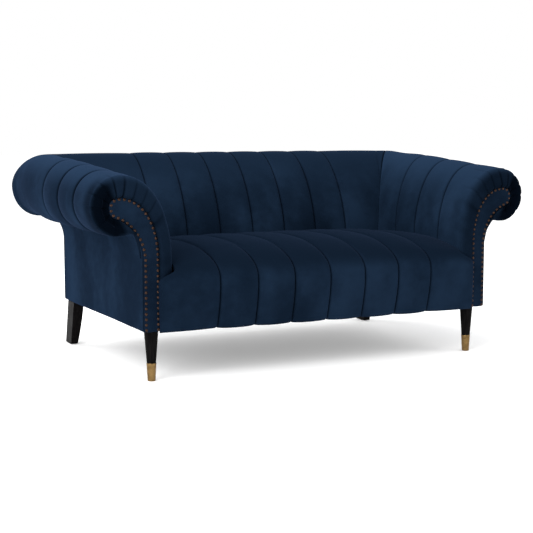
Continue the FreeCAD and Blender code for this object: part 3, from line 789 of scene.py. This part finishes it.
def seat_place(u, v):
    y, z = seat_line(v)
    last = SEAT_SEAMS[-1]
    low = smooth(-z, -0.40, -0.345) * smooth(v, 0.6, 0.7)
    half = mix(SEAT_HALF, FRONT_HALF, low)
    side = 1 if u >= 0 else -1
    if abs(u) > last:
        f = (abs(u) - last) / (SEAT_HALF - last)
        x = mix(last, half, f)
        push, crease_shade = channel(f * 0.62, (half - last) / 0.62)
    else:
        x = abs(u)
        push, crease_shade = channel((u / CHANNEL) % 1.0, CHANNEL)
    share = abs(x) / SEAT_HALF
    upper = 1 - smooth(v, 0.55, 0.80)
    z -= 0.026 * min(1.0, share) ** 4.5 * upper
    y += 0.010 * share ** 2 * (1 - upper)
    end = max(0.0, 1 - (half - x) / WING_ROUND)
    y = mix(y, FACE_Y + 0.004, end ** 2 * low)
    settle = smooth(v, 0.0, 0.05) * (1 - 0.6 * smooth(v, 0.93, 1.0))
    # The third value is painted shade along the seams.
    return Vector((side * x, y, z)), push * settle, crease_shade * settle


seat = cover("seat", seat_columns, seat_rows, seat_place, "shaded_seat_velvet")
thicken(seat, 0.02)
dress(seat, "velvet", "seat_cover", "seat_foam", "seat_front_wings")

# %% [markdown]
# ## Facings and nails
# A facing is a strip of ply covered in thin wadding and velvet, shaped like a walking stick. Its two
# edges are mapped to the two sides of a grid, which keeps its crown even all along.


# %% Facings
def facing_sides(w):
    """The inner and the outer edge of the facing at w, 0 at its foot and 1 at its tip."""
    low = BODY_LOW_Z + 0.001
    if w <= 0.45:
        t = w / 0.45
        return Vector((FACING_IN, mix(low, 0.430, t))), Vector((FACING_OUT, mix(low, COVE_Z, t)))
    if w <= 0.88:
        t = (w - 0.45) / 0.43
        inner = bezier(t, (FACING_IN, 0.430), (FACING_IN, 0.545), (0.690, 0.633), FACING_TOP)
        outer = bezier(t, (FACING_OUT, COVE_Z), (0.696, 0.502), (0.740, 0.545), FACING_CHIN)
        return inner, outer
    t = (w - 0.88) / 0.12
    inner = bezier(t, FACING_TOP, (0.794, 0.633), (0.809, 0.618), FACING_TIP)
    outer = bezier(t, FACING_CHIN, (0.802, 0.567), (0.809, 0.578), FACING_TIP)
    return inner, outer


def facing_place(u, w):
    inner, outer = facing_sides(w)
    point = inner.lerp(outer, u)
    edge = min(u, 1 - u) * 2
    crown = (1 - (1 - edge) ** 3) * smooth((outer - inner).length, 0.0, 0.03)
    y = FACE_Y + 0.004 - 0.0055 * crown
    # Painted shade: the whole facing is darkened a little, and more towards its two edges.
    return Vector((point.x, y, point.y)), 0.0, 0.32 + 0.4 * (1 - smooth(edge, 0.0, 0.18))


facing_columns = [0, 0.015, 0.04, 0.08, 0.14, 0.24, 0.37, 0.5, 0.63, 0.76, 0.86, 0.92, 0.96, 0.985, 1]
facing_rows = [i / 70 for i in range(71)]
left_columns = [-u for u in reversed(facing_columns)]
right_facing = cover("right_nailed_facing", facing_columns, facing_rows, facing_place)
left_facing = cover("left_nailed_facing", left_columns, facing_rows, flip(facing_place))
for side, piece in (("right", right_facing), ("left", left_facing)):
    thicken(piece, 0.009)
    dress(piece, "velvet", side + "_facing")

# %% [markdown]
# ## Outside panels
# The outside arms and back are velvet stretched over card. They drop straight from a small cove under
# the roll, and meet in a rounded upright corner.


# %% Outside panels
PANEL_LIP = 0.045          # how far the velvet is turned in under the frame
PANEL_ROUND = 0.010        # radius of the upright rear corners


def panel_line(s, out, w):
    """(h, z) of an outside panel, w from 0 at the seam under the roll to 1 at the base."""
    if w <= 0.35:
        return cove_point(s, out, w / 0.35)
    if w <= 0.96:
        return Vector((out, mix(COVE_Z, BODY_LOW_Z + 0.003, (w - 0.35) / 0.61)))
    under_z = BODY_LOW_Z - 0.001
    return bezier((w - 0.96) / 0.04, (out, BODY_LOW_Z + 0.003), (out, under_z), (out - PANEL_LIP, under_z))


def slack(point):
    """The small unevenness of a panel that is stretched over card."""
    return 0.0016 * noise.noise(point * 5.0) + 0.0005 * noise.noise(point * 17.0)


def side_panel_place(u, w):
    rear = panel_line(BACK, REAR_Y, w)
    y = mix(FACE_Y + 0.003, rear.x - PANEL_ROUND, u)
    side = panel_line(section_at(y), OUT_X, w)
    point = Vector((side.x, y, side.y))
    calm = smooth(u, 0.0, 0.1) * smooth(w, 0.0, 0.2)
    # Painted shade along the top of the panel, under the roll.
    return point, slack(point) * calm, 0.6 * (1 - smooth(w, 0.0, 0.04))


def back_panel_place(u, w):
    rear = panel_line(BACK, REAR_Y, w)
    side = panel_line(REAR, OUT_X, w)
    r = PANEL_ROUND
    if abs(u) > 0.9:
        t = (abs(u) - 0.9) / 0.1
        turn = bezier(t, (side.x - r, rear.x), (side.x, rear.x), (side.x, rear.x - r))
        point = Vector((turn.x, turn.y, rear.y))
        # Painted shade where the rounded corner meets the side panel.
        crease_shade = 0.5 * smooth(t, 0.8, 1.0)
    else:
        point = Vector((abs(u) / 0.9 * (side.x - r), rear.x, rear.y))
        # Painted shade along the top of the panel, under the roll.
        crease_shade = 0.6 * (1 - smooth(w, 0.0, 0.04))
    point.x *= 1 if u >= 0 else -1
    return point, slack(point) * smooth(w, 0.0, 0.2) * (1 - smooth(abs(u), 0.8, 0.9)), crease_shade


panel_rows = [i / 60 for i in range(61)]
side_columns = [1 - i / 56 for i in range(57)]
right_outside = cover("right_outside_arm", side_columns, panel_rows, side_panel_place)
left_columns = [-u for u in reversed(side_columns)]
left_outside = cover("left_outside_arm", left_columns, panel_rows, flip(side_panel_place))
for side, piece in (("right", right_outside), ("left", left_outside)):
    thicken(piece, 0.004)
    dress(piece, "velvet", side + "_outside_arm_panel")
rear_columns = [-1 + i / 50 for i in range(101)]
outside_back = cover("outside_back", rear_columns, panel_rows, back_panel_place)
thicken(outside_back, 0.004)
dress(outside_back, "velvet", "outside_back_panel")

# %% [markdown]
# ## The dust cover
# Black cloth stapled under the frame, flat but for a little slack between the rails. The plates of the
# front legs are screwed on over it.

# %% Dust cover
DUST_LOW, DUST_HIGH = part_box("dust_cover")
DUST_W, DUST_D = (DUST_HIGH[k] - DUST_LOW[k] for k in (0, 1))
DUST_SLACK = 0.004


def dust_place(u, v):
    x, y = u * DUST_W / 2, mix(DUST_LOW[1], DUST_HIGH[1], v)
    sinks = DUST_SLACK * sin(pi * (u + 1) / 2) * sin(pi * v) + 0.0006 * noise.noise(Vector((x, y, 0)) * 9)
    return Vector((x, y, DUST_LOW[2] - sinks)), 0.0, 0.0


dust_columns = [1 - i / 48 for i in range(97)]
dust_sheet = cover("dust_sheet", dust_columns, panel_rows, dust_place, "dust_cloth")
thicken(dust_sheet, 0.0008)
dress(dust_sheet, "dust_cloth", "dust_cover")
